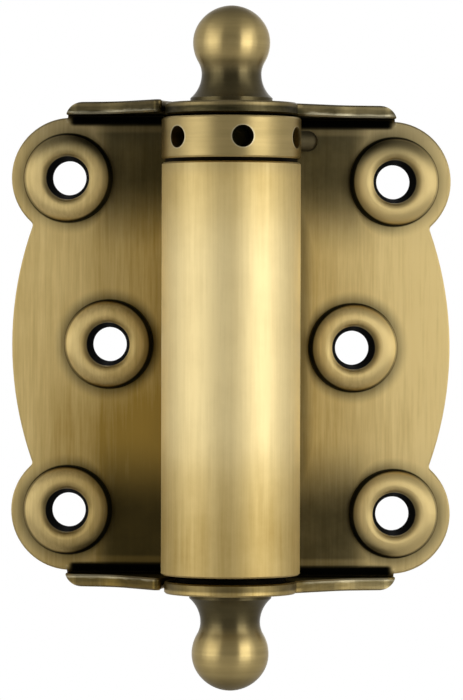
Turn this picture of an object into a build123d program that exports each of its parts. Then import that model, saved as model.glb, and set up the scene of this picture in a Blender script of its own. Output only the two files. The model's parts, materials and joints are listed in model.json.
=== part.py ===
from build123d import *
import os
from math import asin, atan2, cos, degrees, radians, sin, sqrt

# Adjustable-tension spring hinge for a screen door, with ball tips.
# Millimetres. X runs across the hinge to the right, Y runs back into the wall, Z runs up.
# The origin lies on the mounting face of the left (fixed) leaf, straight behind the pin axis, at the
# leaf's mid-height. The hinge is drawn as it hangs loose: its spring holds the right (door) leaf back
# against the fixed one, past flat by the rest sweep.

# Sheet and overall height
EARS_HEIGHT = 76.2          # over the outer faces of a leaf's two ears: a 3 inch hinge
SHEET = 1.9                 # thickness of both leaves
REST_SWEEP = 10.0           # degrees by which the door leaf stands behind the fixed leaf's plane
STOP_GAP = 0.3              # between the two leaves' inner edges where they stop

# Leaf outline, in a leaf's own frame: X outwards from the pin axis, Z up
LOBE_X = 26.4               # centre of a corner lobe
LOBE_Z = 26.35
LOBE_R = 9.5
BULGE_REACH = 35.8          # furthest point of the long middle curve
BULGE_R = 55.5
NOTCH_R = 0.7               # rounding in the notch between a lobe and the middle curve
DOOR_INNER = 3.6            # inner edge of the door leaf
EDGE_BREAK = 0.25           # broken edges all round

# Ears, in plan
BEND_R = 1.3                # inside radius of the bend between plate and ear
EAR_OUT = 27.0              # outer end of an ear
EAR_END_R = 3.1             # rounding of that end, seen from the front
EAR_OUT_DEPTH = 5.6         # its front edge there, behind the pin axis
EAR_CORNER_R = 2.6          # its rounded outer corner
FIXED_EAR_SWING = (18.6, 4.3)   # where the fixed ear's front edge swings forward
DOOR_EAR_SWING = (18.2, 4.5)    # the same on the door ear
SWING_R = 8.0               # rounding of that swing
DOOR_EAR_ANGLE = 5.0        # degrees from X at which the door ear's front edge leaves the disc
EAR_TIP_ANGLE = 27.0        # degrees by which the fixed ear reaches forward round the disc
EAR_TIP_R = 0.8
DISC_CLEARANCE = 0.45       # between a disc and the fixed ear's round end
EYE_RELIEF = 0.4            # from the disc to the inner end of the door ear's bend

# Screw bosses
OUTER_HOLE = (26.8, 26.3)
MIDDLE_HOLE_X = 20.3
HOLE_R = 2.7
HOLE_LAND = 0.8             # straight wall of the hole, at the back
SINK_R = 3.4                # mouth of the countersink
BOSS_R = 7.0
BOSS_HEIGHT = 2.2
BOSS_FLANK = 2.4            # from the foot in to the boss's highest circle, its crown
BOSS_SIDE_ANGLE = 67.0      # slope of the flank where it leaves the side; it is level at the crown
DENT_WIDTH = 1.8            # the ring-shaped dent that pressing a boss leaves in the back
DENT_DEPTH = 0.8

# Barrel stack, from the top disc down to the bottom one
TUBE_R = 10.8
TUBE_WALL = 1.2
TUBE_SEAT = 0.3             # depth to which the tube is let into the fixed leaf
TUBE_INSET = 0.5            # foot of the tube above the inner face of the fixed leaf's lower ear
DISC_STEP = 0.5             # the discs are this much smaller in radius than the tube
COLLAR_PROUD = 0.05         # and the collar this much larger
COLLAR_HEIGHT = 6.4
COLLAR_SWEEP_GAP = 0.3      # between the turning collar and the fixed leaf behind it
TOP_WASHER = 0.4            # thickness of the three washers
COLLAR_WASHER = 0.6
BOTTOM_WASHER = 0.6
WASHER_INSET = 1.7          # from a disc's rim in to its washer's
END_PLAY = 0.4              # what is left between the tube and the bottom washer

# Collar holes and tension pin
COLLAR_HOLES = 6
COLLAR_HOLE_R = 1.7
COLLAR_HOLE_FLOOR = 5.4     # radius at which the blind holes end
FIRST_HOLE_ANGLE = 44.5     # degrees from +X to the rear right hole, which holds the tension pin
TENSION_PIN_R = 1.62
TENSION_PIN_GAP = 0.06      # between the tension pin and the leaf that it bears on
SPIGOT_HEIGHT = 4.0
SPIGOT_GAP = 0.1            # between the collar's spigot and the tube's wall

# Hinge pin
PIN_R = 3.0
PIN_IN_FINIAL = 7.0
RUNNING_GAP = 0.05
WASHER_GAP = 0.25

# Barrel plug and spring
PLUG_HEIGHT = 6.0
COIL_R = 7.0                # mean radius of the coils
WIRE = 2.0                  # square spring wire
COILS = 8
TANG_LENGTH = 2.4           # straight spring end in its anchor hole
TANG = 1.86                 # its width, a little under the wire's
TANG_HOLE_R = 1.5           # round hole that a spring end stands in
TANG_HOLE_DEPTH = 2.8
COIL_GAP = 0.2              # from the last coils to the plug and the spigot

# Finials, measured from the disc that they stand on
FINIAL_BASE_R = 6.4
NECK_R = 4.65
NECK_HEIGHT = 4.5
LOWER_COVE_R = 4.9
BALL_R = 6.0
BALL_HEIGHT = 9.4           # of its widest place
BALL_CROWN = 5.75           # from there to its tip: the outer half is a little flattened
BALL_SHOULDER_R = 5.4       # rounding between the widest place and the flattened tip

# Sizes and heights that follow
DISC_R = TUBE_R - DISC_STEP
COLLAR_R = TUBE_R + COLLAR_PROUD
WASHER_R = DISC_R - WASHER_INSET
AXIS_TO_LEAF = TUBE_R - TUBE_SEAT               # from the pin axis back to a leaf's front face
LEAF_BACK = AXIS_TO_LEAF + SHEET
EAR_TOP = EARS_HEIGHT / 2
EAR_INNER = EAR_TOP - SHEET
BEND_Y = AXIS_TO_LEAF - BEND_R
BEND_Z = EAR_INNER - BEND_R
TUBE_FOOT = TUBE_INSET - EAR_INNER
TUBE_HEIGHT = 2 * EAR_INNER - TOP_WASHER - COLLAR_HEIGHT - COLLAR_WASHER - END_PLAY - BOTTOM_WASHER
TUBE_TOP = TUBE_FOOT + TUBE_HEIGHT
TUBE_BORE_R = TUBE_R - TUBE_WALL
COLLAR_FOOT = TUBE_TOP + COLLAR_WASHER
COLLAR_TOP = COLLAR_FOOT + COLLAR_HEIGHT
SPIGOT_R = TUBE_BORE_R - SPIGOT_GAP
DROP = EAR_INNER - COLLAR_TOP - TOP_WASHER      # the door side hangs down on its end play
PIN_BORE_R = PIN_R + RUNNING_GAP
CLEAR_DISC_R = DISC_R + DISC_CLEARANCE


def behind_axis(solid, lift=0.0):
    """Move a solid that was built on the pin axis into the hinge's frame."""
    return Pos(0, -LEAF_BACK, lift) * solid


def disc_ring(outer, inner, foot, height):
    """Flat ring about the pin axis."""
    ring = Cylinder(outer, height) - Cylinder(inner, height)
    return Pos(0, 0, foot + height / 2) * ring


def broken_cylinder(radius, foot, height):
    """Cylinder about the pin axis with both rims broken."""
    solid = Cylinder(radius, height)
    return Pos(0, 0, foot + height / 2) * chamfer(solid.edges().filter_by(GeomType.CIRCLE), EDGE_BREAK)


def both_ends(upper):
    """A solid and its mirror image below mid-height."""
    return upper + mirror(upper, about=Plane.XY)


# Leaves

def plate(inner):
    """Flat of a leaf, with its two lobes and the long middle curve, its punched edges broken."""
    width = EAR_OUT - inner
    body = Pos(inner + width / 2, 0) * Rectangle(width, 2 * BEND_Z)
    bulge = Pos(BULGE_REACH - BULGE_R, 0) * Circle(BULGE_R)
    band = Pos(inner, 0) * Rectangle(BULGE_REACH - inner, 2 * LOBE_Z, align=(Align.MIN, Align.CENTER))
    outline = body + (bulge & band)
    outline += [Pos(LOBE_X, z) * Circle(LOBE_R) for z in (-LOBE_Z, LOBE_Z)]
    over_bend = Pos(inner + width / 2, BEND_Z + LOBE_R / 2) * Rectangle(width, LOBE_R)
    outline -= over_bend + mirror(over_bend, about=Plane.XZ)
    notches = outline.vertices().filter_by(lambda v: v.X > EAR_OUT + NOTCH_R and abs(v.Y) < LOBE_Z)
    outline = fillet(notches, NOTCH_R)
    flat = extrude(Plane.XZ.offset(-LEAF_BACK) * outline, SHEET)
    punched = flat.edges().filter_by(GeomType.CIRCLE)
    return chamfer(punched, EDGE_BREAK)


def bend(inner):
    """Quarter-round bend that carries the upper ear, from its inner end to its outer one."""
    outer_r = BEND_R + SHEET
    ring = Circle(outer_r) - Circle(BEND_R)
    quarter = ring & Rectangle(outer_r, outer_r, align=(Align.MIN, Align.MIN))
    return extrude(Plane.YZ.offset(inner) * Pos(BEND_Y, BEND_Z) * quarter, EAR_OUT - inner)


def ear_plan(inner, front_start, swing):
    """Plan of an ear from the pin axis out, between its bend and its front edge."""
    outer_front = (EAR_OUT, EAR_OUT_DEPTH)
    points = [(0, 0), front_start, swing, outer_front, (EAR_OUT, BEND_Y), (inner, BEND_Y)]
    plan = make_face(Polyline(*points, close=True))
    plan = fillet(plan.vertices().sort_by_distance(outer_front)[0], EAR_CORNER_R)
    return fillet(plan.vertices().sort_by_distance(swing)[0], SWING_R)


def broken_ear(plan):
    """Sheet of an ear at its height, its edges broken but for the one at the bend."""
    ear = extrude(Plane.XY.offset(EAR_INNER) * plan, SHEET)
    free = ear.edges().filter_by(lambda e: e.bounding_box().size.Z < EDGE_BREAK)
    free = free.filter_by(lambda e: abs(e.center().Y - BEND_Y) > EDGE_BREAK)
    return chamfer(free, EDGE_BREAK)


def door_ears():
    """Ears that run on into the discs, the eyes that carry the hinge pin."""
    meets_bend = sqrt(DISC_R**2 - BEND_Y**2) + EYE_RELIEF
    start = Vector(DISC_R, 0).rotate(Axis.Z, -DOOR_EAR_ANGLE)
    plan = ear_plan(meets_bend, (start.X, start.Y), DOOR_EAR_SWING) + Circle(DISC_R)
    upper = broken_ear(plan) + bend(meets_bend)
    return both_ends(upper) - Cylinder(PIN_BORE_R, EARS_HEIGHT)


def fixed_ears(inner):
    """Ears that stop beside the discs and reach round them."""
    tip = Vector(CLEAR_DISC_R, 0).rotate(Axis.Z, -EAR_TIP_ANGLE)
    start = (tip.X, tip.Y)
    plan = ear_plan(inner, start, FIXED_EAR_SWING) - Circle(CLEAR_DISC_R)
    point = plan.vertices().sort_by_distance(start)[0]
    return both_ends(broken_ear(fillet(point, EAR_TIP_R)) + bend(inner))


def ear_end():
    """What the rounding of the upper ear's outer end takes off, seen from the front."""
    square = Pos(EAR_OUT - EAR_END_R / 2, EAR_TOP) * Rectangle(EAR_END_R, 2 * EAR_END_R)
    corner = square - Pos(EAR_OUT - EAR_END_R, EAR_TOP - EAR_END_R) * Circle(EAR_END_R)
    return extrude(Plane.XZ.offset(-LEAF_BACK) * corner, LEAF_BACK)


def boss():
    """Pressed boss about its own axis, standing on the leaf's back face, as a ring round its hole."""
    crown_r = BOSS_R - BOSS_FLANK
    crown = SHEET + BOSS_HEIGHT
    flank_r = BOSS_FLANK / sin(radians(BOSS_SIDE_ANGLE))
    lip_r = crown_r - SINK_R
    flank = CenterArc((crown_r, crown - flank_r), flank_r, 90 - BOSS_SIDE_ANGLE, BOSS_SIDE_ANGLE)
    side = Line((BOSS_R, 0), flank @ 0)
    lip = CenterArc((crown_r, crown - lip_r), lip_r, 90, 90)
    hole = Polyline(lip @ 1, (HOLE_R, HOLE_LAND), (HOLE_R, 0), (BOSS_R, 0))
    dent_points = [(-DENT_WIDTH / 2, 0), (0, DENT_DEPTH), (DENT_WIDTH / 2, 0)]
    dent = Pos((HOLE_R + BOSS_R) / 2, 0) * make_face(Polyline(*dent_points, close=True))
    section = make_face(side + flank + lip + hole) - dent
    return revolve(Plane.XZ * section, Axis.Z)


def leaf(inner, ears):
    """A whole leaf: plate, ears and three bosses."""
    body = plate(inner) + ears - both_ends(ear_end())
    centres = [(OUTER_HOLE[0], OUTER_HOLE[1]), (MIDDLE_HOLE_X, 0), (OUTER_HOLE[0], -OUTER_HOLE[1])]
    for x, z in centres:
        seat = Plane(origin=(x, LEAF_BACK, z), x_dir=(1, 0, 0), z_dir=(0, -1, 0))
        body -= seat * Cylinder((BOSS_R + SINK_R) / 2, 2 * (SHEET + BOSS_HEIGHT))
        body += seat * boss()
    return body


def fixed_leaf():
    """Left leaf, hollowed where the tube seats in it and where the collar and the discs turn."""
    sweep = radians(REST_SWEEP)
    inner = STOP_GAP + LEAF_BACK * sin(sweep) - DOOR_INNER * cos(sweep)
    body = mirror(leaf(inner, fixed_ears(inner)), about=Plane.YZ)
    body -= Pos(0, 0, TUBE_FOOT + TUBE_HEIGHT / 2) * Cylinder(TUBE_R, TUBE_HEIGHT)
    turning = EAR_INNER - TUBE_TOP
    body -= Pos(0, 0, TUBE_TOP + turning / 2) * Cylinder(COLLAR_R + COLLAR_SWEEP_GAP, turning)
    for end in (-EAR_TOP, EAR_TOP):
        body -= Pos(0, 0, end) * Cylinder(CLEAR_DISC_R, 2 * SHEET)
    return behind_axis(body)


def door_leaf():
    """Right leaf, standing back against the stop."""
    return behind_axis(Rot(0, 0, REST_SWEEP) * leaf(DOOR_INNER, door_ears()), -DROP)


# Barrel

def barrel_tube():
    """Plain tube with broken edges."""
    tube = broken_cylinder(TUBE_R, TUBE_FOOT, TUBE_HEIGHT)
    return behind_axis(tube - Cylinder(TUBE_BORE_R, 2 * TUBE_HEIGHT))


def barrel_plug():
    """Plug in the tube's foot, bored for the pin and drilled for the spring's lower end."""
    plug = disc_ring(TUBE_BORE_R, PIN_BORE_R, TUBE_FOOT, PLUG_HEIGHT)
    plug -= Pos(COIL_R, 0, TUBE_FOOT + PLUG_HEIGHT) * Cylinder(TANG_HOLE_R, 2 * TANG_HOLE_DEPTH)
    return behind_axis(plug)


def radial_rod(radius, start, end):
    """Rod along +X at the height of the collar's holes."""
    middle = COLLAR_FOOT + COLLAR_HEIGHT / 2
    return Pos((start + end) / 2, 0, middle) * Rot(0, 90, 0) * Cylinder(radius, end - start)


def tension_collar():
    """Turned collar with a spigot in the tube and six blind holes for the tommy bar."""
    collar = broken_cylinder(COLLAR_R, COLLAR_FOOT, COLLAR_HEIGHT)
    spigot_foot = COLLAR_FOOT - SPIGOT_HEIGHT
    collar += Pos(0, 0, spigot_foot + SPIGOT_HEIGHT / 2) * Cylinder(SPIGOT_R, SPIGOT_HEIGHT)
    whole = SPIGOT_HEIGHT + COLLAR_HEIGHT
    collar -= Pos(0, 0, spigot_foot + whole / 2) * Cylinder(PIN_BORE_R, whole)
    collar -= Pos(COIL_R, 0, spigot_foot) * Cylinder(TANG_HOLE_R, 2 * TANG_HOLE_DEPTH)
    for index in range(COLLAR_HOLES):
        turn = Rot(0, 0, FIRST_HOLE_ANGLE + index * 360 / COLLAR_HOLES)
        collar -= turn * radial_rod(COLLAR_HOLE_R, COLLAR_HOLE_FLOOR, COLLAR_R + 1)
    return behind_axis(collar)


def tension_pin():
    """Round-ended peg in the rear hole, just long enough to bear on the door leaf's front face."""
    slant = sin(radians(FIRST_HOLE_ANGLE - REST_SWEEP))
    ball_at = (AXIS_TO_LEAF - TENSION_PIN_GAP - TENSION_PIN_R) / slant
    peg = radial_rod(TENSION_PIN_R, COLLAR_HOLE_FLOOR + RUNNING_GAP, ball_at)
    peg += Pos(ball_at, 0, COLLAR_FOOT + COLLAR_HEIGHT / 2) * Sphere(TENSION_PIN_R)
    return behind_axis(Rot(0, 0, FIRST_HOLE_ANGLE) * peg)


def torsion_spring():
    """Square-wire coils between plug and spigot, each end bent straight into its anchor hole."""
    foot = TUBE_FOOT + PLUG_HEIGHT + COIL_GAP + WIRE / 2
    height = COLLAR_FOOT - SPIGOT_HEIGHT - COIL_GAP - WIRE / 2 - foot
    path = Pos(0, 0, foot) * Helix(pitch=height / COILS, height=height, radius=COIL_R)
    section = Plane(origin=path @ 0, z_dir=path % 0) * Rectangle(WIRE, WIRE)
    spring = sweep(section, path, is_frenet=True)
    reach = TANG_LENGTH + COIL_GAP + WIRE
    for end, way in ((foot, -1), (foot + height, 1)):
        middle = end + way * (reach - WIRE) / 2
        spring += Pos(COIL_R, 0, middle) * Box(TANG, TANG, reach)
    return behind_axis(spring)


# Pin, washers and finials

def finial_blank():
    """Turned ball tip on its base, with a blind hole for the pin, standing on z = 0."""
    base_top = NECK_HEIGHT - sqrt(LOWER_COVE_R**2 - (NECK_R + LOWER_COVE_R - FINIAL_BASE_R) ** 2)
    rise = BALL_HEIGHT - NECK_HEIGHT
    cove_r = (NECK_R**2 + rise**2 - BALL_R**2) / (2 * (BALL_R - NECK_R))
    touch = BALL_R / (BALL_R + cove_r)
    leaves_ball = (touch * (NECK_R + cove_r), BALL_HEIGHT - touch * rise)
    neck = (NECK_R, NECK_HEIGHT)
    base = Polyline((0, 0), (FINIAL_BASE_R, 0), (FINIAL_BASE_R, base_top))
    lower_cove = RadiusArc(base @ 1, neck, LOWER_COVE_R)
    upper_cove = RadiusArc(neck, leaves_ball, cove_r)
    below_middle = degrees(asin(touch * rise / BALL_R))
    ball = CenterArc((0, BALL_HEIGHT), BALL_R, -below_middle, below_middle)
    inset = BALL_R - BALL_SHOULDER_R
    tip_r = (inset**2 + BALL_CROWN**2 - BALL_SHOULDER_R**2) / (2 * (BALL_CROWN - BALL_SHOULDER_R))
    meet = degrees(atan2(tip_r - BALL_CROWN, inset))
    shoulder = CenterArc((inset, BALL_HEIGHT), BALL_SHOULDER_R, 0, meet)
    tip = CenterArc((0, BALL_HEIGHT + BALL_CROWN - tip_r), tip_r, meet, 90 - meet)
    axis = Line((0, BALL_HEIGHT + BALL_CROWN), (0, 0))
    profile = base + lower_cove + upper_cove + ball + shoulder + tip + axis
    blank = revolve(Plane.XZ * make_face(profile), Axis.Z)
    return blank - Pos(0, 0, PIN_IN_FINIAL / 2) * Cylinder(PIN_BORE_R, PIN_IN_FINIAL)


def top_finial():
    return behind_axis(Pos(0, 0, EAR_TOP) * finial_blank(), -DROP)


def bottom_finial():
    return behind_axis(Pos(0, 0, -EAR_TOP) * Rot(180, 0, 0) * finial_blank(), -DROP)


def hinge_pin():
    """Plain pin through everything, its ends in the finials."""
    return behind_axis(Cylinder(PIN_R, EARS_HEIGHT + 2 * (PIN_IN_FINIAL - RUNNING_GAP)), -DROP)


def top_washer():
    return behind_axis(disc_ring(WASHER_R, PIN_R + WASHER_GAP, COLLAR_TOP, TOP_WASHER))


def collar_washer():
    """Narrow ring round the spigot, on the tube's rim."""
    outer = TUBE_R - 2 * EDGE_BREAK
    return behind_axis(disc_ring(outer, SPIGOT_R + SPIGOT_GAP, TUBE_TOP, COLLAR_WASHER))


def bottom_washer():
    foot = -EAR_INNER - DROP
    return behind_axis(disc_ring(WASHER_R, PIN_R + WASHER_GAP, foot, BOTTOM_WASHER))


PIECES = {
    "fixed_leaf": fixed_leaf,
    "barrel_tube": barrel_tube,
    "barrel_plug": barrel_plug,
    "torsion_spring": torsion_spring,
    "collar_washer": collar_washer,
    "tension_collar": tension_collar,
    "tension_pin": tension_pin,
    "door_leaf": door_leaf,
    "hinge_pin": hinge_pin,
    "top_finial": top_finial,
    "bottom_finial": bottom_finial,
    "top_washer": top_washer,
    "bottom_washer": bottom_washer,
}

os.makedirs("parts", exist_ok=True)
for name, build in PIECES.items():
    piece = build()
    export_step(piece, f"parts/{name}.step")
    print(name, round(piece.volume), "mm3")
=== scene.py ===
# %% [markdown]
# A screen door hinge with ball tips, in antique brass. The solids come finished from the construction
# model, so this lesson is about their skin: brass that was darkened all over and then brushed back, so
# the proud faces shine and the corners stay dark. The dark in the corners is partly painted shade, and
# some highlights are painted on as well.

# %% Load the frame
import json
from math import atan, cos, radians, sin

import bpy
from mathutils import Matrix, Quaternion, Vector

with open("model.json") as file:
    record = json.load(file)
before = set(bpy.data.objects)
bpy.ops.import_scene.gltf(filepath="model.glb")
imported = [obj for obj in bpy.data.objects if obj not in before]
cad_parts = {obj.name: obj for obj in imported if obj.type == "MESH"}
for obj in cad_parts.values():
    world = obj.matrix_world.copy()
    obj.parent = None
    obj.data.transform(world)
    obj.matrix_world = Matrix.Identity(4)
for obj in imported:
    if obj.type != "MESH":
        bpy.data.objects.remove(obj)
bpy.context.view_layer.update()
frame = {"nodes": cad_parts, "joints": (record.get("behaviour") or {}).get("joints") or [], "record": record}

NODES = frame["nodes"]
print("pieces:", ", ".join(sorted(NODES)))

# %% [markdown]
# Every finish below is placed by where a point lies on the hinge: how far it is from the pin, from a
# screw hole or from a rim. It could be painted on the meshes by hand as well, but the paint would be
# lost with each change to the construction model. The places are read from the frame and the packed
# record instead, so the finish stays where it belongs.

# %% Where things are
MM = 0.001
MOUNTS = {mount["name"]: mount for mount in frame["record"]["mounts"]}
SWING = next(joint for joint in frame["joints"] if joint["name"] == "leaf_swing")
AXIS = Vector(SWING["pos_m"])
DOOR_SWEEP = atan(-MOUNTS["door_leaf_back"]["axis"][0] / MOUNTS["door_leaf_back"]["axis"][1])


def hole_centres(leaf):
    """Centres of a leaf's three screw holes."""
    return [Vector(MOUNTS[f"{leaf}_hole_{place}"]["pos_m"]) for place in ("top", "middle", "bottom")]


print("pin axis at", [round(c / MM, 2) for c in AXIS], "mm")
print("holes of the fixed leaf", [[round(c / MM, 1) for c in p] for p in hole_centres("fixed")])

# %% [markdown]
# A material is a small network of nodes. These short helpers add a node, set its plain values and join
# its inputs, so that the finishes further down read as recipes. A socket is linked, a number is set.
# The smooth step does most of the work: it turns a place or a noise into a mask, which is a number that
# is 1 where something shows, 0 where it doesn't, and in between at a soft border.

# %% Helpers for nodes
def put(tree, socket, value):
    """Link another node's output to an input socket, or set a plain value on it."""
    if isinstance(value, bpy.types.NodeSocket):
        tree.links.new(value, socket)
    else:
        socket.default_value = value


def add(tree, kind, inputs=None, **settings):
    """Add a node, set its properties, then link or set its inputs."""
    made = tree.nodes.new(kind)
    for key, value in settings.items():
        setattr(made, key, value)
    for key, value in (inputs or {}).items():
        put(tree, made.inputs[key], value)
    return made


def calc(tree, operation, first, second=0.0, third=0.0, clamp=False):
    """One Math node, as an output socket."""
    made = add(tree, "ShaderNodeMath", {0: first, 1: second, 2: third}, operation=operation)
    made.use_clamp = clamp
    return made.outputs[0]


def times(tree, first, second):
    """Two values multiplied. Of two masks, this is where both show."""
    return calc(tree, "MULTIPLY", first, second)


def most(tree, first, second):
    """The larger of two values. Of two masks, this is where either shows."""
    return calc(tree, "MAXIMUM", first, second)


def ramp(tree, value, low, high, start=0.0, end=1.0):
    """A smooth step of value between low and high, from start to end."""
    inputs = {"Value": value, 1: low, 2: high, 3: start, 4: end}
    return add(tree, "ShaderNodeMapRange", inputs, interpolation_type="SMOOTHSTEP").outputs[0]


def below(tree, value, low, high):
    """A mask that shows up to low and is gone at high."""
    return ramp(tree, value, low, high, 1.0, 0.0)


# %% [markdown]
# Brushing leaves fine scratches that all run one way. They are much too fine to be modelled, and a
# picture of them would blur from near. A noise that is stretched a long way along the brush and kept
# short across it gives them at any distance. There are two sizes: fine hairs, and broader bands where
# the wheel pressed harder. One shared group serves straight and turned pieces, because only the numbers
# of scratches per millimetre along each direction change.

# %% Brushed grain, a shared group
def new_group(name, inputs, outputs):
    """A node group with named sockets, and its two end nodes."""
    group = bpy.data.node_groups.new(name, "ShaderNodeTree")
    for label, kind, value in inputs:
        socket = group.interface.new_socket(name=label, in_out="INPUT", socket_type=f"NodeSocket{kind}")
        if value is not None:
            socket.default_value = value
    for label, kind in outputs:
        group.interface.new_socket(name=label, in_out="OUTPUT", socket_type=f"NodeSocket{kind}")
    return group, group.nodes.new("NodeGroupInput").outputs, group.nodes.new("NodeGroupOutput").inputs


def grain_group():
    inputs = [("Place", "Vector", None), ("Per Millimetre", "Vector", (1, 1, 1)), ("Fine", "Float", 1.0)]
    group, given, result = new_group("brushed_grain", inputs, [("Hairs", "Float"), ("Bands", "Float")])
    stretch = {0: given["Place"], 1: given["Per Millimetre"]}
    broad = add(group, "ShaderNodeVectorMath", stretch, operation="MULTIPLY").outputs[0]
    shrink = {0: broad, "Scale": given["Fine"]}
    fine = add(group, "ShaderNodeVectorMath", shrink, operation="SCALE").outputs[0]
    for label, vector in (("Hairs", fine), ("Bands", broad)):
        settings = {"Vector": vector, "Scale": 1.0, "Detail": 3.0, "Roughness": 0.6}
        noise = add(group, "ShaderNodeTexNoise", settings)
        group.links.new(noise.outputs[0], result[label])
    return group


GRAIN = grain_group()
print("group", GRAIN.name, "made")

# %% [markdown]
# The wheel rubs hardest on convex edges, so they are bare and pale. Edges could be marked one by one,
# but the solids have thousands. Rays sent into a solid from a point on its skin come out again close to
# such an edge and nowhere else, and the Ambient Occlusion node can send them: turned inside out, with a
# very short reach, it finds all edges by itself. The other way out, with a longer reach, it finds the
# corners that the wheel can't get into, where the materials lay patina and painted shade.

# %% Edges and corners, a shared group
def wear_and_corner_group():
    inputs = [("Edge Reach", "Float", 0.4 * MM), ("Corner Reach", "Float", 4 * MM), ("Broken", "Float", 0.5)]
    group, given, result = new_group("edge_and_corner", inputs, [("Edge", "Float"), ("Corner", "Float")])
    rays = {"samples": 8, "only_local": True}
    inside = add(group, "ShaderNodeAmbientOcclusion", {"Distance": given["Edge Reach"]}, inside=True, **rays)
    outside = add(group, "ShaderNodeAmbientOcclusion", {"Distance": given["Corner Reach"]}, **rays)
    edge = ramp(group, calc(group, "SUBTRACT", 1.0, inside.outputs["AO"]), 0.12, 0.5)
    noise = add(group, "ShaderNodeTexNoise", {"Scale": 700.0, "Detail": 2.0})
    gaps = below(group, noise.outputs[0], 0.35, 0.6)
    kept = calc(group, "SUBTRACT", 1.0, times(group, given["Broken"], gaps))
    group.links.new(times(group, edge, kept), result["Edge"])
    # Corner: where the materials lay patina and painted shade.
    group.links.new(calc(group, "SUBTRACT", 1.0, outside.outputs["AO"]), result["Corner"])
    return group


WEAR_AND_CORNERS = wear_and_corner_group()
print("group", WEAR_AND_CORNERS.name, "made")

# %% [markdown]
# Antique brass has five colours: the bare metal, the warm brown that is left where the brush only
# grazed, a dull grey film towards the ends, the nearly black patina in the corners, and the pale gleam
# of scoured edges. The brown, grey and near black also serve as painted shade, and the pale as painted
# highlights, where the materials below lay them. Five separate materials would meet in hard borders,
# and patina has none. So this group mixes the colours by four shares, and every brass material below
# says only how brown, grey, dark or bright each place is. A slow cloud of noise makes the brown and the
# dark a little uneven.

# %% Antique brass colours, a shared group
BARE = (0.89, 0.70, 0.32)
# Pale: scoured edges, and painted highlights.
PALE = (0.95, 0.88, 0.62)
BROWN = (0.40, 0.26, 0.055)
GREY = (0.11, 0.105, 0.085)
# Near black: patina, and painted shade.
DARK = (0.018, 0.017, 0.007)


def blend(tree, share, first, second):
    """Mix two colours by a share. A colour is a socket or three numbers."""
    made = add(tree, "ShaderNodeMix", {0: share}, data_type="RGBA")
    for index, value in ((6, first), (7, second)):
        is_socket = isinstance(value, bpy.types.NodeSocket)
        put(tree, made.inputs[index], value if is_socket else (*value, 1))
    return made.outputs[2]


def patina_and_painted_light_group():
    inputs = [("Place", "Vector", None)]
    inputs += [(label, "Float", 0.0) for label in ("Brown", "Grey", "Dark", "Bright", "Cloud")]
    group, given, result = new_group("antique_brass", inputs, [("Color", "Color")])
    cloud = {"Vector": given["Place"], "Scale": 0.16, "Detail": 5.0, "Roughness": 0.62}
    cloud = add(group, "ShaderNodeTexNoise", cloud).outputs[0]
    drift = times(group, calc(group, "SUBTRACT", cloud, 0.5), given["Cloud"])
    brown = calc(group, "ADD", given["Brown"], drift, clamp=True)
    dark = calc(group, "MULTIPLY_ADD", drift, given["Dark"], given["Dark"], clamp=True)
    colour = blend(group, brown, BARE, BROWN)
    colour = blend(group, given["Grey"], colour, GREY)
    colour = blend(group, dark, colour, DARK)
    colour = blend(group, given["Bright"], colour, PALE)
    group.links.new(colour, result["Color"])
    return group


BRASS = patina_and_painted_light_group()
print("group", BRASS.name, "made")

# %% [markdown]
# Each material starts with the same metal shader. Scratches spread a reflection across themselves and
# hardly along themselves. Plain roughness would spread it all ways, so the shader's anisotropy is used:
# with a quarter turn for pieces brushed up and down, and without for turned ones. Its tangent follows
# the piece's own upright, tilted a little because it must not be square to a face.

# %% A metal, ready for its colours
UPRIGHT = (0.06, 0.03, 1.0)
SPREAD = 0.8
QUARTER_TURN = 0.25
NO_TURN = 0.0


def metal(name, roughness, turn):
    """A new material with its metal shader, and the place on the piece in millimetres from the pin."""
    material = bpy.data.materials.new(name)
    material.use_nodes = True
    tree = material.node_tree
    shader = tree.nodes["Principled BSDF"]
    shader.inputs["Metallic"].default_value = 1.0
    shader.inputs["Roughness"].default_value = roughness
    shader.inputs["Anisotropic"].default_value = SPREAD
    shader.inputs["Anisotropic Rotation"].default_value = turn
    spaces = {"vector_type": "VECTOR", "convert_from": "OBJECT", "convert_to": "WORLD"}
    upright = add(tree, "ShaderNodeVectorTransform", {0: UPRIGHT}, **spaces)
    tree.links.new(upright.outputs[0], shader.inputs["Tangent"])
    place = {0: add(tree, "ShaderNodeTexCoord").outputs["Object"], 1: tuple(AXIS)}
    place = add(tree, "ShaderNodeVectorMath", place, operation="SUBTRACT").outputs[0]
    place = {0: place, "Scale": 1 / MM}
    place = add(tree, "ShaderNodeVectorMath", place, operation="SCALE").outputs[0]
    return material, tree, shader, place


# %% [markdown]
# A group that was built once is placed in a material with the material's own numbers. The grain group
# then does three things for a metal: its hairs move the roughness a little and tilt the normal, and
# its noise swings the shares of colour to and fro, which draws the streaks.

# %% Groups in a material
def use(tree, group, **values):
    """Place a group in a material. Spaces in its socket names are underscores here."""
    made = add(tree, "ShaderNodeGroup", node_tree=group)
    for key, value in values.items():
        put(tree, made.inputs[key.replace("_", " ")], value)
    return made.outputs


def swung(tree, value, share):
    """A noise value turned into a swing of so much either way."""
    return times(tree, calc(tree, "SUBTRACT", value, 0.5), 2 * share)


def brush(tree, shader, grain, roughness, spread, depth):
    """Let the hairs move a metal's roughness by a spread, and tilt its normal by their depth."""
    swing = times(tree, calc(tree, "SUBTRACT", grain["Hairs"], 0.5), spread)
    tree.links.new(calc(tree, "ADD", swing, roughness), shader.inputs["Roughness"])
    bump = add(tree, "ShaderNodeBump", {"Height": grain["Hairs"], "Distance": depth, "Strength": 1.0})
    tree.links.new(bump.outputs[0], shader.inputs["Normal"])


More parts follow.
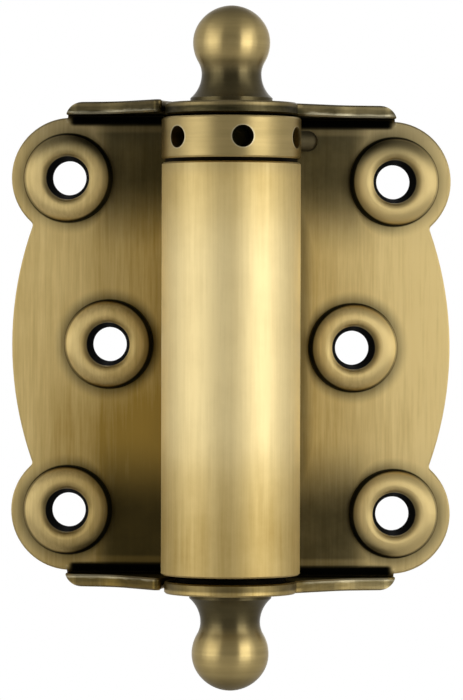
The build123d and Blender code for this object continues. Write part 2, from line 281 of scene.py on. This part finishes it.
# %% [markdown]
# The leaves were brushed up and down after pressing, and the wheel reached some places better than
# others. Those places are measured in the leaf's own plane, in millimetres: across from the pin, up
# from the middle hole, and near to the next hole's centre. A leaf is the same above and below its
# middle hole, so one height serves both ends. A second distance is taken from centres that lie a bit
# further out: by how it differs from the first, it tells the barrel's side of a boss from the other.

# %% Places on a leaf
FURTHER_OUT = 0.3


def hole_distance(tree, in_plane, leaf, outward, turn, shift):
    """How far a place is from the nearer hole centre, the centres being moved outwards by the shift."""
    gaps = []
    for centre in hole_centres(leaf)[:2]:
        local = (centre - AXIS) / MM
        across = outward * (local.x * cos(turn) - local.y * sin(turn)) + shift
        spot = (across, 0, (centre - hole_centres(leaf)[1]).z / MM)
        gap = add(tree, "ShaderNodeVectorMath", {0: in_plane, 1: spot}, operation="DISTANCE")
        gaps.append(gap.outputs["Value"])
    return calc(tree, "MINIMUM", *gaps)


def leaf_places(tree, place, leaf, outward, turn):
    """Sockets that say where a point lies on a leaf, once the leaf's sweep is turned back."""
    flat = {"Vector": place, "Angle": turn}
    flat = add(tree, "ShaderNodeVectorRotate", flat, rotation_type="Z_AXIS").outputs[0]
    parts = add(tree, "ShaderNodeSeparateXYZ", {0: flat}).outputs
    across = times(tree, parts[0], outward)
    up = calc(tree, "SUBTRACT", parts[2], hole_centres(leaf)[1].z / MM)
    height = calc(tree, "ABSOLUTE", up)
    in_plane = add(tree, "ShaderNodeCombineXYZ", {0: across, 2: height}).outputs[0]
    near = hole_distance(tree, in_plane, leaf, outward, turn, 0.0)
    near_outer = hole_distance(tree, in_plane, leaf, outward, turn, FURTHER_OUT)
    at = {"flat": flat, "across": across, "depth": parts[1], "up": up, "height": height}
    return {**at, "near": near, "near_outer": near_outer}


# %% [markdown]
# Front and back of the sheet lie at nearly the same place, so the way a face looks tells them apart.
# The normal gives three masks: level faces, such as the top of an ear; the back, which was brushed less
# evenly and has lighter pockets; and the faces on the hollow side of the bends, which look forwards or
# towards the middle of the leaf. Only there is the bend painted black, for patina and painted shade.

# %% Masks from the way a face looks
def facing_masks(tree, at):
    normal = add(tree, "ShaderNodeTexCoord").outputs["Normal"]
    facing = add(tree, "ShaderNodeSeparateXYZ", {0: normal}).outputs
    level = ramp(tree, calc(tree, "ABSOLUTE", facing[2]), 0.75, 0.95)
    back = ramp(tree, facing[1], 0.2, 0.8)
    outwards = calc(tree, "MULTIPLY_ADD", calc(tree, "SIGN", at["up"]), facing[2], facing[1])
    hollow = below(tree, outwards, -0.8, -0.4)
    return {"level": level, "back": back, "hollow": hollow}


# %% [markdown]
# The wheel rode over the raised bosses and polished them, but it left a dark halo round each foot. A
# black crescent at the foot, wider on the barrel's side, is patina together with painted shade of the
# boss's steep side. Painted shade also lies on a boss's flank towards the barrel, in its countersunk
# mouth on the other side, and on the hole's wall, which is painted black. All of these are rings, so
# distances from the hole's centre draw them, however the leaf is turned. The halo is strongest at the
# leaf's lower end.

# %% Masks round a screw hole
def boss_masks(tree, at):
    near = at["near"]
    near_outer = at["near_outer"]
    # The hole's wall: painted black, a painted shade.
    hole = below(tree, near, 3.35, 3.5)
    boss = below(tree, near, 6.5, 6.8)
    halo = times(tree, below(tree, near, 6.9, 9.2), calc(tree, "SUBTRACT", 1.0, boss))
    far_halo = ramp(tree, at["up"], -24.0, -20.0, 0.48, 0.3)
    halo = times(tree, halo, ramp(tree, at["across"], 24.0, 31.0, 0.62, far_halo))
    # Foot crescent: patina and painted shade of the boss's steep side.
    foot = times(tree, ramp(tree, near_outer, 6.5, 6.9), below(tree, near, 7.0, 7.4))
    barrel_side = calc(tree, "SUBTRACT", near_outer, near)
    # Painted shade on the flank towards the barrel.
    flank = times(tree, ramp(tree, near, 5.2, 6.6), ramp(tree, barrel_side, 0.0, 0.3, 0.0, 0.5))
    # Painted shade in the countersunk mouth.
    mouth = times(tree, below(tree, near, 3.5, 4.4), ramp(tree, barrel_side, -0.3, 0.1, 0.55, 0.0))
    return {"hole": hole, "boss": boss, "halo": halo, "foot": foot, "flank": flank, "mouth": mouth}


# %% [markdown]
# The ears are the ends of the plate, bent forward over the barrel. Their bends are painted black inside,
# for patina and painted shade, and just below them a painted highlight lies on the sheet's curl. On an
# ear's front the brushing runs lengthwise, so it has grain of its own. Its inner lip is painted pale in a
# line that isn't quite straight, burnished and a painted highlight at once, so noise makes it wavy, and
# its outer rim is painted paler, a painted highlight, most of all on the disc round the pin.

# %% Masks on the ears and bends
OUTER_RIM = (37.2, 37.6)


def ear_masks(tree, at, mask, streaks):
    height = at["height"]
    across = at["across"]
    ear = times(tree, ramp(tree, height, 34.4, 35.4), below(tree, at["depth"], 9.2, 10.2))
    # The bend's hollow side is painted black: patina and painted shade.
    bend = times(tree, ramp(tree, height, 34.3, 35.1), below(tree, across, 25.7, 27.0))
    bend = times(tree, times(tree, bend, mask["hollow"]), calc(tree, "SUBTRACT", 1.0, ear))
    # A painted highlight on the curl below the bend.
    curl = times(tree, ramp(tree, height, 33.2, 33.9), below(tree, height, 34.3, 34.7))
    front = times(tree, ear, calc(tree, "SUBTRACT", 1.0, mask["level"]))
    # The lip: burnished edge and painted highlight.
    wavy = calc(tree, "ADD", height, swung(tree, streaks, 0.5))
    lip = times(tree, below(tree, wavy, 36.4, 36.9), ramp(tree, across, 11.0, 12.5))
    disc = below(tree, across, 10.5, 11.5)
    # A painted highlight along the outer rim.
    rim = times(tree, ramp(tree, height, *OUTER_RIM), calc(tree, "MULTIPLY_ADD", disc, 0.4, 0.12))
    ears = {"ear": ear, "disc": disc, "lip": times(tree, front, lip), "rim": times(tree, front, rim)}
    return {**ears, "bend": bend, "curl": curl}


# %% [markdown]
# Now the shares of colour can be said. A leaf is browner towards the barrel than at its outer edge,
# patina together with painted shade of the barrel, and its front is browner below the middle hole. The
# streaks of the brushing swing it, and the polished bosses have less. The grey film lies on the two
# ends, most on the upper one, and there it is partly painted shade.

# %% How brown and how grey a leaf is
BAND_SWING = 0.2
HAIR_SWING = 0.22
OFF_THE_BOSSES = 0.25


def leaf_brown(tree, at, mask, grain, at_barrel, at_edge, below_middle):
    """Brown at the barrel and at the outer edge, and how much more there is below the middle hole."""
    # Browner towards the barrel: patina and painted shade of the barrel.
    inner = below(tree, at["across"], 11.0, 30.0)
    brown = calc(tree, "MULTIPLY_ADD", inner, at_barrel - at_edge, at_edge)
    brown = calc(tree, "ADD", brown, swung(tree, grain["Bands"], BAND_SWING))
    brown = calc(tree, "ADD", brown, swung(tree, grain["Hairs"], HAIR_SWING))
    low = ramp(tree, at["up"], -14.0, -2.0, below_middle, 0.0)
    low = times(tree, low, below(tree, at["across"], 27.0, 34.0))
    low = times(tree, low, calc(tree, "MULTIPLY_ADD", mask["back"], -0.8, 1.0))
    brown = calc(tree, "ADD", brown, low)
    return calc(tree, "SUBTRACT", brown, times(tree, mask["boss"], OFF_THE_BOSSES))


def leaf_grey(tree, at, mask, ends):
    # Grey on the ends: film, and partly painted shade.
    grey = times(tree, ends, calc(tree, "MULTIPLY_ADD", mask["boss"], -0.1, 0.16))
    return calc(tree, "ADD", grey, ramp(tree, at["up"], 29.0, 35.0, 0.0, 0.35))


# %% [markdown]
# Dark patina stays where the wheel couldn't get, and painted shade is laid with it: in the pockets
# between the end bosses and the barrel and in a strip beside the barrel, both patina and painted shade
# of the ears and the barrel, and in the halos, patina. The ears were barely brushed at all; their tops
# and rims are painted lighter, painted highlights, and their undersides are painted dark, a painted
# shade. Each layer is laid over the one before by the larger of the two, so that borders never add up
# to something darker than either.

# %% How dark the plate and the ears are
LOWER_TO_UPPER = (-1.0, 1.0)


def plate_dark(tree, at, mask, ends, dark_by_barrel):
    # Pockets between the end bosses and the barrel: patina and painted shade of the ears and barrel.
    pocket = below(tree, at["across"], 19.5, 24.8)
    pocket = times(tree, pocket, calc(tree, "MULTIPLY_ADD", mask["back"], -0.55, 1.0))
    dark = times(tree, ends, calc(tree, "MULTIPLY_ADD", pocket, 0.8, 0.04))
    # A painted highlight on the curl below the bend.
    dark = calc(tree, "MULTIPLY_ADD", mask["curl"], -0.22, dark, clamp=True)
    # Darker next to the barrel towards the ends: patina and painted shade.
    dark = most(tree, dark, times(tree, ramp(tree, at["across"], 11.0, 13.5, 0.5, 0.0), ends))
    # A strip beside the barrel: painted shade of the barrel and patina.
    beside = ramp(tree, at["across"], 12.0, 14.6, dark_by_barrel, 0.0)
    beside = calc(tree, "SUBTRACT", beside, mask["back"], clamp=True)
    return most(tree, most(tree, dark, beside), mask["halo"])


def boss_dark(tree, at, mask):
    dark = calc(tree, "ADD", ramp(tree, at["up"], 27.5, 33.0, 0.0, 0.6), mask["flank"])
    return most(tree, dark, mask["mouth"])


def ear_dark(tree, at, mask, streaks):
    disc_shift = times(tree, mask["disc"], ramp(tree, at["up"], *LOWER_TO_UPPER, -0.08, 0.08))
    dark = calc(tree, "ADD", disc_shift, calc(tree, "ADD", swung(tree, streaks, 0.22), 0.8))
    dark = calc(tree, "ADD", dark, ramp(tree, at["up"], *LOWER_TO_UPPER, -0.1, 0.0))
    # The rim is painted lighter, a painted highlight.
    dark = calc(tree, "SUBTRACT", dark, mask["rim"], clamp=True)
    # The undersides of the ears are painted dark, a painted shade.
    under = times(tree, mask["level"], below(tree, at["height"], 36.8, 37.2))
    # Top faces are painted lighter, a painted highlight.
    top = times(tree, mask["level"], ramp(tree, at["height"], *OUTER_RIM))
    return most(tree, calc(tree, "MULTIPLY_ADD", top, -0.5, dark), under)


# %% [markdown]
# The two leaves are one recipe with different numbers, because the photo shows the left one browner and
# the right one darker beside the barrel. Holes, bends, feet and corners are laid on last. The ears are
# smoother than the plate, and the black places are dull.

# %% The leaves
# Near black for hole walls and bends: painted shade, with patina in the bends.
BLACK = (0.003, 0.003, 0.002)
LEAF_ROUGHNESS = 0.56
BLACK_ROUGHNESS = 0.95
EAR_POLISH = 0.26


def mix(tree, share, first, second):
    """Mix two values by a share."""
    return add(tree, "ShaderNodeMix", {0: share, 2: first, 3: second}, data_type="FLOAT").outputs[0]


def leaf_brass(name, leaf, outward, turn, dark_by_barrel, **browns):
    material, tree, shader, place = metal(name, LEAF_ROUGHNESS, QUARTER_TURN)
    at = leaf_places(tree, place, leaf, outward, turn)
    wear_and_corners = use(tree, WEAR_AND_CORNERS, Edge_Reach=0.4 * MM, Corner_Reach=4 * MM, Broken=0.4)
    grain = use(tree, GRAIN, Place=at["flat"], Per_Millimetre=(0.9, 0.9, 0.04), Fine=3.0)
    streaks = use(tree, GRAIN, Place=at["flat"], Per_Millimetre=(0.12, 0.5, 1.4), Fine=3.0)["Bands"]
    mask = {**facing_masks(tree, at), **boss_masks(tree, at)}
    mask.update(ear_masks(tree, at, mask, streaks))
    # Darker towards both ends: patina and painted shade of the ears.
    ends = ramp(tree, at["height"], 13.5, 26.5)

    dark = plate_dark(tree, at, mask, ends, dark_by_barrel)
    dark = mix(tree, mask["boss"], dark, boss_dark(tree, at, mask))
    # Corners, feet, bends and holes darken last: patina and painted shade, the holes painted shade only.
    corner = ramp(tree, wear_and_corners["Corner"], 0.25, 0.75)
    for layer in (mask["foot"], mask["bend"], mask["hole"], corner):
        dark = most(tree, dark, layer)
    dark = mix(tree, mask["ear"], dark, ear_dark(tree, at, mask, streaks))
    brown = leaf_brown(tree, at, mask, grain, **browns)
    grey = leaf_grey(tree, at, mask, ends)
    # Pale: worn edges, and the lip's painted highlight.
    bright = most(tree, times(tree, wear_and_corners["Edge"], 0.2), times(tree, mask["lip"], 0.3))
    shares = {"Brown": brown, "Grey": grey, "Dark": dark, "Bright": bright, "Cloud": 0.25}
    colours = use(tree, BRASS, Place=place, **shares)

    # Hole walls and bends painted near black: painted shade, with patina in the bends.
    black = most(tree, mask["hole"], mask["bend"])
    tree.links.new(blend(tree, black, colours["Color"], BLACK), shader.inputs["Base Color"])
    roughness = ramp(tree, black, 0.0, 1.0, LEAF_ROUGHNESS, BLACK_ROUGHNESS)
    roughness = calc(tree, "SUBTRACT", roughness, times(tree, mask["ear"], EAR_POLISH))
    brush(tree, shader, grain, roughness, spread=0.12, depth=0.01 * MM)
    return material


FIXED_BRASS = leaf_brass(
    "fixed_leaf_brass", "fixed", outward=-1, turn=0.0,
    dark_by_barrel=0.12, at_barrel=0.84, at_edge=0.32, below_middle=0.35)
DOOR_BRASS = leaf_brass(
    "door_leaf_brass", "door", outward=1, turn=-DOOR_SWEEP,
    dark_by_barrel=0.6, at_barrel=0.56, at_edge=0.0, below_middle=0.1)
print("leaf finishes made:", FIXED_BRASS.name, "and", DOOR_BRASS.name)

# %% [markdown]
# The barrel is drawn tube, brushed along its length and left the palest of all. The wheel slowed
# towards its ends, so they stay browner, the lower one more, and that brown is partly painted shade. Its
# middle is painted paler, a painted highlight, and a thin grey film lies round its upper rim. All of this
# changes only along the tube, so the height of a point is the one place that the recipe needs.

# %% The barrel
BARREL_ROUGHNESS = 0.42


def barrel_brass():
    material, tree, shader, place = metal("barrel_brass", BARREL_ROUGHNESS, QUARTER_TURN)
    height = add(tree, "ShaderNodeSeparateXYZ", {0: place}).outputs[2]
    wear_and_corners = use(tree, WEAR_AND_CORNERS, Edge_Reach=0.4 * MM, Broken=0.2)
    grain = use(tree, GRAIN, Place=place, Per_Millimetre=(0.7, 0.7, 0.025), Fine=3.0)
    # Browner towards both ends: patina and painted shade.
    upper_end = ramp(tree, height, 10.0, 30.0, 0.06, 0.6)
    lower_end = ramp(tree, height, -31.0, -9.0, 0.65, 0.0)
    ends = calc(tree, "ADD", upper_end, lower_end)
    streaks = calc(tree, "ADD", swung(tree, grain["Bands"], 0.2), swung(tree, grain["Hairs"], 0.14))
    brown = calc(tree, "ADD", ends, streaks)
    film = ramp(tree, height, 25.5, 28.0, 0.0, 0.2)
    # A painted highlight: the middle is painted paler.
    painted_sheen = ramp(tree, ends, 0.0, 0.5, 0.16, 0.04)
    bright = most(tree, times(tree, wear_and_corners["Edge"], 0.6), painted_sheen)
    shares = {"Brown": brown, "Grey": film, "Bright": bright, "Cloud": 0.45}
    colours = use(tree, BRASS, Place=place, **shares)
    tree.links.new(colours["Color"], shader.inputs["Base Color"])
    brush(tree, shader, grain, BARREL_ROUGHNESS, spread=0.1, depth=0.008 * MM)
    return material


BARREL_BRASS = barrel_brass()
print("barrel finish made:", BARREL_BRASS.name)

# %% [markdown]
# The collar and the ball tips were turned, so their hairs run round them. The same grain group makes
# them, stretched round the pin and kept short along it. The tips are darker in the neck, at the foot and
# round the pole of the ball, which the wheel passed over: patina together with painted shade. The
# tension pin is painted dark: it was barely brushed, and it carries the painted shadow of the ear above it.

# %% Turned pieces
HEIGHT_OF_MIDDLE = -0.5


def tip_patina_and_shade(tree, place):
    """Masks of a tip's neck and of the pole of its ball, patina together with painted shade, which serve the
    upper and the lower tip.
    """
    height = add(tree, "ShaderNodeSeparateXYZ", {0: place}).outputs[2]
    height = calc(tree, "ABSOLUTE", calc(tree, "ADD", height, -HEIGHT_OF_MIDDLE))
    return ramp(tree, height, 42.0, 46.0, 0.7, 0.0), ramp(tree, height, 49.0, 53.0, 0.0, 0.6)


def turned_brass(name, roughness, brown_share, grey_share, dark_share, is_tip=False):
    material, tree, shader, place = metal(name, roughness, NO_TURN)
    wear_and_corners = use(tree, WEAR_AND_CORNERS, Edge_Reach=0.4 * MM, Corner_Reach=3 * MM, Broken=0.2)
    grain = use(tree, GRAIN, Place=place, Per_Millimetre=(0.06, 0.06, 1.1), Fine=2.5)
    brown = calc(tree, "ADD", swung(tree, grain["Bands"], 0.15), brown_share)
    grey = calc(tree, "ADD", swung(tree, grain["Bands"], 0.1), grey_share)
    # Corners darkened: patina and painted shade.
    in_corners = 0.4 if is_tip else 1.0
    dark = calc(tree, "ADD", ramp(tree, wear_and_corners["Corner"], 0.3, 0.6, 0.0, in_corners), dark_share)
    if is_tip:
        # Neck and pole darkened: patina and painted shade.
        neck, pole = tip_patina_and_shade(tree, place)
        dark = calc(tree, "ADD", most(tree, neck, pole), dark)
        grey = calc(tree, "MULTIPLY_ADD", neck, 0.5, grey)
    bright = times(tree, wear_and_corners["Edge"], 0.2 if is_tip else 0.6)
    shares = {"Brown": brown, "Grey": grey, "Dark": dark, "Bright": bright, "Cloud": 0.3}
    colours = use(tree, BRASS, Place=place, **shares)
    tree.links.new(colours["Color"], shader.inputs["Base Color"])
    brush(tree, shader, grain, roughness, spread=0.1, depth=0.006 * MM)
    return material


COLLAR_BRASS = turned_brass("collar_brass", 0.46, brown_share=0.36, grey_share=0.14, dark_share=0.06)
TIP_BRASS = turned_brass("tip_brass", 0.34, brown_share=0.38, grey_share=0.14, dark_share=0.05, is_tip=True)
# The tension pin is painted dark: patina and the painted shadow of the ear above it.
PIN_BRASS = turned_brass("tension_pin_brass", 0.45, brown_share=0.6, grey_share=0.7, dark_share=0.5)
print("turned finishes made:", COLLAR_BRASS.name, TIP_BRASS.name, PIN_BRASS.name)

# %% [markdown]
# What hides inside is plain steel: the pin is bright drawn rod, the spring is oiled and nearly black,
# and the washers are blackened. They show as dark lines in the gaps, and fully when the hinge is taken
# apart, so they get grain of their own.

# %% Steel pieces
DARKER = 0.6


def steel(name, colour, roughness, per_millimetre):
    material, tree, shader, place = metal(name, roughness, NO_TURN)
    grain = use(tree, GRAIN, Place=place, Per_Millimetre=per_millimetre, Fine=2.0)
    share = ramp(tree, grain["Bands"], 0.3, 0.7)
    darker = tuple(DARKER * c for c in colour)
    tree.links.new(blend(tree, share, darker, colour), shader.inputs["Base Color"])
    brush(tree, shader, grain, roughness, spread=0.15, depth=0.005 * MM)
    return material


BRIGHT_STEEL = steel("bright_steel", (0.55, 0.55, 0.54), 0.3, (0.06, 0.06, 0.9))
SPRING_STEEL = steel("spring_steel", (0.16, 0.16, 0.17), 0.42, (0.3, 0.3, 0.3))
BLACK_STEEL = steel("black_steel", (0.013, 0.010, 0.006), 0.7, (0.5, 0.5, 0.5))
print("steel finishes made:", BRIGHT_STEEL.name, SPRING_STEEL.name, BLACK_STEEL.name)

# %% [markdown]
# Each solid gets its material in its own slot. The meshes themselves aren't touched, because the
# construction model already has every edge, hole and bend that the photo shows.

# %% Dress the solids
FINISHES = {
    "fixed_leaf": FIXED_BRASS, "door_leaf": DOOR_BRASS, "barrel_tube": BARREL_BRASS,
    "tension_collar": COLLAR_BRASS, "top_finial": TIP_BRASS, "bottom_finial": TIP_BRASS,
    "tension_pin": PIN_BRASS, "barrel_plug": BRIGHT_STEEL, "hinge_pin": BRIGHT_STEEL,
    "torsion_spring": SPRING_STEEL, "top_washer": BLACK_STEEL, "collar_washer": BLACK_STEEL,
    "bottom_washer": BLACK_STEEL,
}
for name, finish in FINISHES.items():
    NODES[name].data.materials.clear()
    NODES[name].data.materials.append(finish)
print("dressed", len(FINISHES), "solids")

# %% [markdown]
# The photograph is a product shot on white. Two tall soft boxes light it, one on each side, and the
# right one is stronger. Small lamps or a sun would give hard glints, which the photo hasn't. Brushed
# metal stretches the reflections sideways, and the boxes' angles decide where on the barrel they lie.

# %% Soft boxes
LAMP_DISTANCE = 0.70


def around(azimuth, elevation, distance):
    """A point round the pin axis. Azimuth 0 is in front, and 90 is to the right."""
    a, e = radians(azimuth), radians(elevation)
    return AXIS + distance * Vector((sin(a) * cos(e), -cos(a) * cos(e), sin(e)))


def aim(thing, place, target):
    """Stand a lamp, card or camera at a place, looking at a target."""
    thing.location = place
    thing.rotation_mode = "QUATERNION"
    thing.rotation_quaternion = (target - place).to_track_quat("-Z", "Y")


def soft_box(name, azimuth, size, power):
    lamp = bpy.data.lights.new(name, "AREA")
    lamp.shape = "RECTANGLE"
    lamp.size, lamp.size_y = size
    lamp.energy = power
    made = bpy.data.objects.new(name, lamp)
    bpy.context.scene.collection.objects.link(made)
    aim(made, around(azimuth, 0, LAMP_DISTANCE), AXIS)
    print(name, "at", azimuth, "degrees,", power, "W")


soft_box("right_box", azimuth=52, size=(0.42, 0.62), power=1.25)
soft_box("left_box", azimuth=-54, size=(0.40, 0.62), power=0.55)

# %% [markdown]
# Metal shows what stands round it. In front the room round the camera was darker than the lamps, and
# at the sides and above there were plain walls and a ceiling, which keep the hinge from turning black
# when it is seen from another side. A picture of a room could be wrapped round the scene, but grey
# cards that glow evenly are enough here, and each can be set by itself. The camera doesn't see them,
# so the background stays white.

# %% Cards for the room
CARD_DISTANCE = 0.75


def board(name, azimuth, elevation, size, level):
    """A flat card with a plain glow of one level of grey."""
    mesh = bpy.data.meshes.new(name)
    x, y = size[0] / 2, size[1] / 2
    corners = [(-x, -y, 0), (x, -y, 0), (x, y, 0), (-x, y, 0)]
    mesh.from_pydata(corners, [], [(0, 1, 2, 3)])
    made = bpy.data.objects.new(name, mesh)
    bpy.context.scene.collection.objects.link(made)
    aim(made, around(azimuth, elevation, CARD_DISTANCE), AXIS)
    made.visible_camera = False
    material = bpy.data.materials.new(name)
    material.use_nodes = True
    tree = material.node_tree
    tree.nodes.clear()
    glow = add(tree, "ShaderNodeEmission", {"Color": (1, 1, 1, 1), "Strength": level})
    add(tree, "ShaderNodeOutputMaterial", {"Surface": glow.outputs[0]})
    mesh.materials.append(material)


board("room_card", azimuth=3, elevation=0, size=(0.86, 1.3), level=0.25)
board("right_wall", azimuth=125, elevation=0, size=(1.2, 1.3), level=0.5)
board("left_wall", azimuth=-125, elevation=0, size=(1.2, 1.3), level=0.5)
board("ceiling_card", azimuth=0, elevation=90, size=(1.8, 1.8), level=0.35)
print("four cards stand", CARD_DISTANCE, "m from the pin")

# %% [markdown]
# A pale floor below the hinge gives its underside something to show, and a picture from above
# something to stand on. Only the camera's own rays see it lit up a little more, so that it looks as
# white as the background without throwing more light on the metal.

# %% The floor
FLOOR_RADIUS = 0.55
FLOOR_HEIGHT = -0.12
FLOOR_SIDES = 60
CAMERA_LIFT = 0.35


def pale_floor():
    mesh = bpy.data.meshes.new("floor")
    turns = [radians(360 / FLOOR_SIDES * i) for i in range(FLOOR_SIDES)]
    ring = [(FLOOR_RADIUS * cos(turn), FLOOR_RADIUS * sin(turn), FLOOR_HEIGHT) for turn in turns]
    mesh.from_pydata(ring, [], [tuple(range(FLOOR_SIDES))])
    floor = bpy.data.objects.new("floor", mesh)
    bpy.context.scene.collection.objects.link(floor)
    material = bpy.data.materials.new("pale_floor")
    material.use_nodes = True
    tree = material.node_tree
    shader = tree.nodes["Principled BSDF"]
    shader.inputs["Base Color"].default_value = (0.9, 0.89, 0.88, 1)
    shader.inputs["Roughness"].default_value = 0.9
    shader.inputs["Emission Color"].default_value = (1, 1, 1, 1)
    seen = add(tree, "ShaderNodeLightPath").outputs["Is Camera Ray"]
    tree.links.new(times(tree, seen, CAMERA_LIFT), shader.inputs["Emission Strength"])
    mesh.materials.append(material)


pale_floor()
print("floor laid", FLOOR_HEIGHT, "m from the middle")

# %% [markdown]
# The world is white where the camera and the reflections look. For the diffuse light that it throws
# it is a little weaker, so that the floor keeps some shade.

# %% The world
FOR_DIFFUSE = 0.7


def white_world():
    world = bpy.data.worlds.new("white_world")
    bpy.context.scene.world = world
    world.use_nodes = True
    tree = world.node_tree
    path = add(tree, "ShaderNodeLightPath").outputs
    seen = most(tree, path["Is Camera Ray"], path["Is Glossy Ray"])
    seen = most(tree, seen, path["Is Transmission Ray"])
    level = calc(tree, "MULTIPLY_ADD", seen, 1.0 - FOR_DIFFUSE, FOR_DIFFUSE)
    shader = tree.nodes["Background"]
    shader.inputs["Color"].default_value = (1, 1, 1, 1)
    tree.links.new(level, shader.inputs["Strength"])


white_world()
print("world made")

# %% [markdown]
# The camera stands 650 mm in front of the pin, a little to the right and a little above the middle.
# The photo's perspective is nearly flat, which takes a long lens from some way off, and not a short one
# from near. A small roll lines the pin up with the picture.

# %% The camera
CAMERA_DISTANCE = 0.650
CAMERA_AZIMUTH = radians(5.0)
CAMERA_HEIGHT = 0.0055
AIM_OFFSET = Vector((0.00010, 0, -0.00077))
CAMERA_ROLL = radians(0.15)
lens = bpy.data.cameras.new("camera")
lens.lens = 215.0
lens.sensor_width = 36.0
camera = bpy.data.objects.new("camera", lens)
bpy.context.scene.collection.objects.link(camera)
bpy.context.scene.camera = camera
stand = AXIS + Vector((sin(CAMERA_AZIMUTH), -cos(CAMERA_AZIMUTH), 0)) * CAMERA_DISTANCE
aim(camera, stand + Vector((0, 0, CAMERA_HEIGHT)), AXIS + AIM_OFFSET)
camera.rotation_quaternion @= Quaternion((0, 0, 1), CAMERA_ROLL)
bpy.context.scene.view_settings.view_transform = "Standard"
print("camera at", [round(c / MM) for c in camera.location], "mm")

# %% Finish
print("done")
